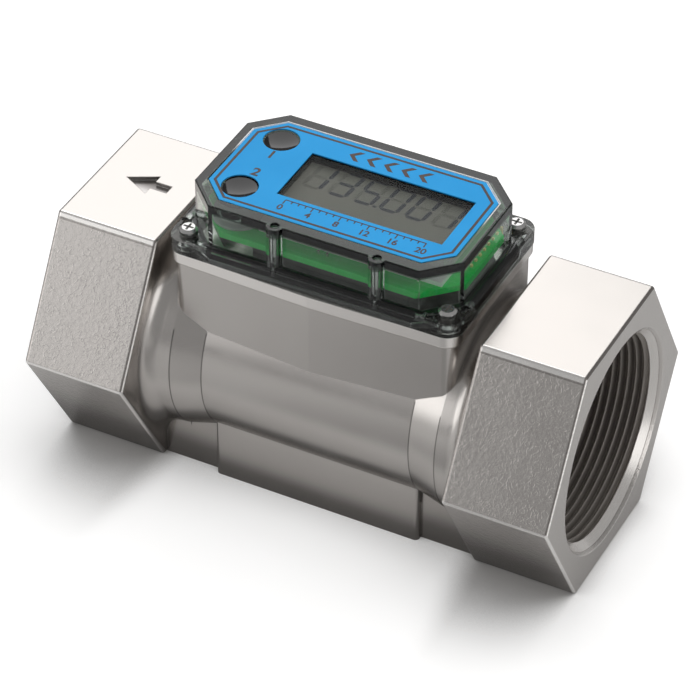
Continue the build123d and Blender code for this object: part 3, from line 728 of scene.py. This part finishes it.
def display_digits(ink, faded):
    """The shown number on top of the display glass, and the faint bars that are not lit."""
    top = top_of("display_glass")
    lit, unlit = [], []
    place = 0
    for sign in shown_digits:
        if sign == ".":
            x = first_digit_x + (place - 0.5) * digit_pitch
            lit.append(square_outline(x, digit_bottom, point_size))
            continue
        lit += digit_bars(place, digit_segments[sign])
        unlit += digit_bars(place, sorted(set(segment_ends) - set(digit_segments[sign])))
        place += 1
    lit_bars = prisms(lit, top, top + print_thickness)
    faint_bars = prisms(unlit, top, top + print_thickness / 2)
    make_piece("display_digits", *lit_bars, ink, "display_grey")
    make_piece("display_faint_bars", *faint_bars, faded, "display_grey")


def label_border(material):
    """The thin line printed round the label."""
    low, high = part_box("label_plate")
    length, width = (high.x - low.x) / MM, (high.y - low.y) / MM
    bottom = high.z / MM
    top = bottom + print_thickness
    inner_inset = border_inset + border_width
    rings = []
    for inset, z in (
        (border_inset, bottom), (border_inset, top), (inner_inset, top), (inner_inset, bottom),
    ):
        corner = label_corner - inset * (2 - sqrt(2))
        ring = octagon(length - 2 * inset, width - 2 * inset, corner)
        rings.append([(x, y, z) for x, y in ring])
    vertices, faces = loops(rings)
    return make_piece("label_border", vertices, faces, material, "label_blue")


def numeral(name, text, x, y, size, material):
    """A printed numeral on the label."""
    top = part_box("label_plate")[1].z
    curve = bpy.data.curves.new(name, "FONT")
    curve.body = text
    curve.size = size * MM
    curve.extrude = print_thickness * MM / 2
    curve.offset = numeral_boldness * size * MM
    curve.align_x = "CENTER"
    curve.align_y = "CENTER"
    outline = bpy.data.objects.new(name + "_text", curve)
    bpy.context.scene.collection.objects.link(outline)
    bpy.context.view_layer.update()
    evaluated = outline.evaluated_get(bpy.context.evaluated_depsgraph_get())
    mesh = bpy.data.meshes.new_from_object(evaluated)
    bpy.data.objects.remove(outline)
    mesh.transform(Matrix.Translation((x * MM, y * MM, top + print_thickness * MM / 2)))
    mesh.materials.clear()
    mesh.materials.append(material)
    piece = bpy.data.objects.new(name, mesh)
    bpy.context.scene.collection.objects.link(piece)
    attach(piece, "root")
    return piece


def label_scale(material):
    """A plain ruled scale under the window."""
    top = top_of("label_plate")
    half = tick_width / 2
    outlines = [rectangle(scale_start, scale_end, scale_top - half, scale_top + half)]
    for step in range(scale_steps + 1):
        x = scale_start + (scale_end - scale_start) * step / scale_steps
        numbered = step % steps_per_numeral == 0
        reach = long_tick if numbered else short_tick
        outlines.append(rectangle(x - half, x + half, scale_top - reach, scale_top))
        if numbered:
            y = scale_top - long_tick - scale_numeral_size * scale_numeral_drop
            numeral(f"scale_numeral_{step}", str(step), x, y, scale_numeral_size, material)
    make_piece("label_scale", *prisms(outlines, top, top + print_thickness), material, "label_blue")


def flow_chevrons(material):
    """A row of plain chevrons behind the window that point downstream."""
    top = top_of("label_plate")
    label_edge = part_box("label_plate")[1].y / MM
    window_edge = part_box("display_lens")[1].y / MM
    y = (label_edge - border_inset - border_width + window_edge) / 2
    outlines = []
    for index in range(chevron_count):
        x = chevron_x + chevron_pitch * (index - (chevron_count - 1) / 2)
        back = x + chevron_thickness
        outlines.append([
            (x - chevron_reach, y), (x, y + chevron_reach), (back, y + chevron_reach),
            (back - chevron_reach, y), (back, y - chevron_reach), (x, y - chevron_reach),
        ])
    make_piece("flow_chevrons", *prisms(outlines, top, top + print_thickness), material, "label_blue")


def button_dome(name, button, material):
    """The rubber dome round a switch."""
    low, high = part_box(name)
    x, y = (low.x + high.x) / 2 / MM, (low.y + high.y) / 2 / MM
    bottom, top = low.z / MM, high.z / MM
    rise = top - bottom
    inner = dome_base_radius - 2 * dome_wall
    outer_rim = dome_rim_radius + dome_wall
    inner_rim = dome_rim_radius - dome_wall
    # Each point is a radius and a share of the height
    profile = [
        (dome_base_radius, 0.0), (dome_base_radius, 0.16), (dome_base_radius - 0.25, 0.2),
        (inner + 0.2, 0.21), (inner - 0.1, 0.26), (outer_rim + 0.12, 0.9), (outer_rim - 0.1, 1.0),
        (inner_rim, 1.0), (inner_rim, 0.87), (inner - dome_wall - 0.1, 0.2), (inner - dome_wall, 0.0),
    ]
    turns = [tau * index / dome_points for index in range(dome_points)]
    rings = []
    for radius, share in profile:
        z = bottom + rise * share
        rings.append([(x + radius * cos(turn), y + radius * sin(turn), z) for turn in turns])
    vertices, faces = loops(rings)
    piece = make_piece(name + "_rubber", vertices, faces, material, "dome_rubber", sharp=50)
    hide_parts(name)
    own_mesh(piece)
    return piece


def dress(material, *nodes):
    """Gives CAD nodes a material."""
    for node in nodes:
        mesh = frame["nodes"][node].data
        mesh.materials.clear()
        mesh.materials.append(material)


def dress_frame():
    """Every CAD node's finish."""
    steel = bright_metal("screw_steel", srgb(204, 203, 201), srgb(214, 213, 212))
    spring = bright_metal("spring_steel", srgb(168, 166, 163), srgb(182, 180, 177), (0.24, 0.36))
    can = bright_metal("can_metal", srgb(200, 199, 196), srgb(212, 211, 209), (0.2, 0.32))
    black = moulded("black_plastic", srgb(20, 20, 21), srgb(27, 27, 28))
    white = moulded("white_plastic", srgb(246, 248, 244), srgb(251, 252, 249))
    pale = moulded("pale_plastic", srgb(226, 224, 212), srgb(234, 232, 222))
    washer = moulded("hard_washer", srgb(48, 48, 50), srgb(58, 58, 60), (0.12, 0.2))
    dress(cast_steel(), "body_casting")
    dress(pale, "upstream_support", "downstream_support", "turbine_rotor")
    dress(spring, "upstream_retaining_ring", "downstream_retaining_ring", "pickup_core",
          "battery_contact_1", "battery_contact_2", "rotor_shaft")
    dress(washer, "upstream_thrust_washer", "downstream_thrust_washer", "rotor_bush")
    dress(bright_metal("magnet_plate", srgb(186, 185, 182), srgb(198, 197, 194)), "rotor_magnets")
    dress(black, "pickup_bobbin", "controller_chip", "front_switch", "rear_switch")
    dress(moulded("tray_plastic", srgb(80, 80, 79), srgb(92, 92, 90)), "battery_tray")
    dress(wound_copper(), "pickup_winding")
    dress(steel, "cover_pins", "cover_screws", "pickup_terminals")
    dress(moulded("seal_rubber", srgb(16, 16, 16), srgb(22, 22, 22), (0.5, 0.65)), "cover_gasket")
    dress(smoky_cover(), "clear_cover")
    dress(green_board(), "circuit_board")
    dress(moulded("gold_plate", srgb(255, 226, 120), srgb(255, 236, 150), (0.2, 0.3)), "header_pins")
    dress(can, "clock_crystal", "coin_cell_1", "coin_cell_2")
    dress(white, "display_holder")
    dress(moulded("strip_rubber", srgb(60, 60, 60), srgb(80, 80, 80), (0.5, 0.6)), "contact_strips")
    dress(display_grey(), "display_glass")
    dress(moulded("bezel_black", srgb(24, 22, 21), srgb(31, 29, 28), (0.25, 0.35)), "display_bezel")
    dress(clear_lens(), "display_lens")
    dress(blue_film(), "label_plate")
    dress(
        moulded("button_black", srgb(18, 16, 17), srgb(23, 21, 22), (0.05, 0.08), depth=0.002),
        "front_button", "rear_button",
    )


def add_pieces():
    """Everything that the scene adds to the CAD model."""
    thread = thread_steel()
    pipe_thread(1, thread)
    pipe_thread(-1, thread)
    ink = moulded("digit_ink", srgb(44, 47, 52), srgb(50, 53, 58), (0.5, 0.6))
    faded = moulded("faint_ink", srgb(88, 88, 81), srgb(93, 93, 86), (0.5, 0.6))
    display_digits(ink, faded)
    print_ink = moulded("print_ink", srgb(60, 42, 38), srgb(68, 50, 45), (0.4, 0.5))
    label_border(print_ink)
    for name, text, side in (("rear_button_numeral", "1", 1), ("front_button_numeral", "2", -1)):
        y = side * button_numeral_y
        numeral(name, text, button_numeral_x, y, button_numeral_size, print_ink)
    label_scale(print_ink)
    flow_chevrons(print_ink)
    rubber = moulded("dome_silicone", srgb(150, 160, 152), srgb(166, 174, 167), (0.4, 0.5))
    button_dome("front_button_dome", "front_button", rubber)
    button_dome("rear_button_dome", "rear_button", rubber)


def soft_box(name, place, size, radiance, diffuse, gloss):
    """A lamp of an even radiance, which may be there for one kind of reflection alone."""
    data = bpy.data.lights.new(name, "AREA")
    data.shape = "RECTANGLE"
    data.size, data.size_y = size
    data.energy = radiance * pi * size[0] * size[1]
    lamp = bpy.data.objects.new(name, data)
    lamp.visible_diffuse = diffuse
    lamp.visible_glossy = gloss
    lamp.visible_transmission = False
    lamp.location = place
    lamp.rotation_mode = "QUATERNION"
    lamp.rotation_quaternion = (Vector(lamp_aim) - Vector(place)).to_track_quat("-Z", "Y")
    bpy.context.scene.collection.objects.link(lamp)


def floor_paint():
    """Pale paint with a painted soft shadow, and greys that the object mirrors, painted lighter and
    darker by zone as light and shade.
    """
    f = Finish("floor_paint", Roughness=0.6)
    grain = f.noise(30.0, 2.0)
    path = f.add("ShaderNodeLightPath")
    seen = path.outputs["Is Camera Ray"]
    # What the object mirrors: painted light and shade by zone, lighter just in front of the object and
    # darkest right beneath it
    mirrored = grey(floor_first_grey)
    for letter, start, end, shade in floor_zones:
        mirrored = f.mix(f.past(f.axis(letter), start, end), mirrored, grey(shade))
    f.wear(f.mix(seen, mirrored, f.mix(grain, srgb(200, 199, 198), srgb(204, 203, 202))))
    # Painted contact shadow: the lift that whitens the floor where it is seen falls off near the object
    contact = f.add("ShaderNodeAmbientOcclusion", samples=8)
    contact.inputs["Distance"].default_value = shadow_distance * MM
    under = f.within("X", -shadow_relief_reach, shadow_relief_reach, shadow_relief_blend)
    openness = f.maths("ADD", contact.outputs["AO"], f.times(under, shadow_relief))
    lift = f.times(seen, f.spread(openness, 0.0, floor_lift, *shadow_span))
    f.feed(f.shader.inputs["Emission Color"], (1, 1, 1, 1))
    f.feed(f.shader.inputs["Emission Strength"], lift)
    return f.material


def studio_floor():
    """A pale round table that keeps the object's shadow."""
    turns = [tau * index / floor_points for index in range(floor_points)]
    ring = [(floor_radius * cos(turn), floor_radius * sin(turn), 0) for turn in turns]
    mesh = bpy.data.meshes.new("studio_floor")
    mesh.from_pydata(ring, [], [list(range(floor_points))])
    floor = bpy.data.objects.new("studio_floor", mesh)
    bpy.context.scene.collection.objects.link(floor)
    mesh.materials.append(floor_paint())


def studio_world():
    """A dim even room, dimmer high behind the object, and plain white where the camera looks past
    the table or through clear plastic."""
    world = bpy.data.worlds.new("studio")
    world.use_nodes = True
    tree = world.node_tree
    nodes, links = tree.nodes, tree.links
    background = nodes["Background"]
    coordinates = nodes.new("ShaderNodeTexCoord")
    lean = nodes.new("ShaderNodeVectorMath")
    lean.operation = "DOT_PRODUCT"
    lean.inputs[1].default_value = Vector(room_direction).normalized()
    level = nodes.new("ShaderNodeMapRange")
    for socket, value in zip(level.inputs[1:5], room_span + room_levels):
        socket.default_value = value
    path = nodes.new("ShaderNodeLightPath")
    straight = nodes.new("ShaderNodeMath")
    straight.operation = "GREATER_THAN"
    clear = nodes.new("ShaderNodeMath")
    clear.operation = "MAXIMUM"
    choice = nodes.new("ShaderNodeMix")
    for output, socket in (
        (coordinates.outputs["Generated"], lean.inputs[0]),
        (lean.outputs["Value"], level.inputs["Value"]),
        (path.outputs["Is Camera Ray"], clear.inputs[0]),
        (path.outputs["Is Transmission Ray"], straight.inputs[0]),
        (path.outputs["Diffuse Depth"], straight.inputs[1]),
        (straight.outputs["Value"], clear.inputs[1]),
        (clear.outputs["Value"], choice.inputs["Factor"]),
        (level.outputs["Result"], choice.inputs[2]),
        (choice.outputs[0], background.inputs["Strength"]),
    ):
        links.new(output, socket)
    choice.inputs[3].default_value = 1.0
    background.inputs["Color"].default_value = (1, 1, 1, 1)
    bpy.context.scene.world = world


def studio_camera():
    """The camera at the photograph's angle."""
    azimuth, elevation, roll = (radians(a) for a in (camera_azimuth, camera_elevation, camera_roll))
    back = Vector((sin(azimuth) * cos(elevation), -cos(azimuth) * cos(elevation), sin(elevation)))
    right = Vector((cos(azimuth), sin(azimuth), 0))
    up = back.cross(right)
    turned_right = cos(roll) * right + sin(roll) * up
    turned_up = cos(roll) * up - sin(roll) * right
    data = bpy.data.cameras.new("camera")
    data.lens = camera_lens
    data.sensor_width = camera_sensor
    data.clip_start, data.clip_end = camera_clip
    camera = bpy.data.objects.new("camera", data)
    turn = Matrix((turned_right, turned_up, back)).transposed().to_4x4()
    place = Vector(camera_target) * MM + back * camera_distance * MM
    camera.matrix_world = Matrix.Translation(place) @ turn
    bpy.context.scene.collection.objects.link(camera)
    bpy.context.scene.camera = camera


def studio():
    """Table, world, lamps and camera."""
    studio_floor()
    studio_world()
    for name, settings in soft_boxes.items():
        soft_box(name, *settings)
    studio_camera()
    bpy.context.scene.view_settings.view_transform = "Standard"


dress_frame()
add_pieces()
studio()
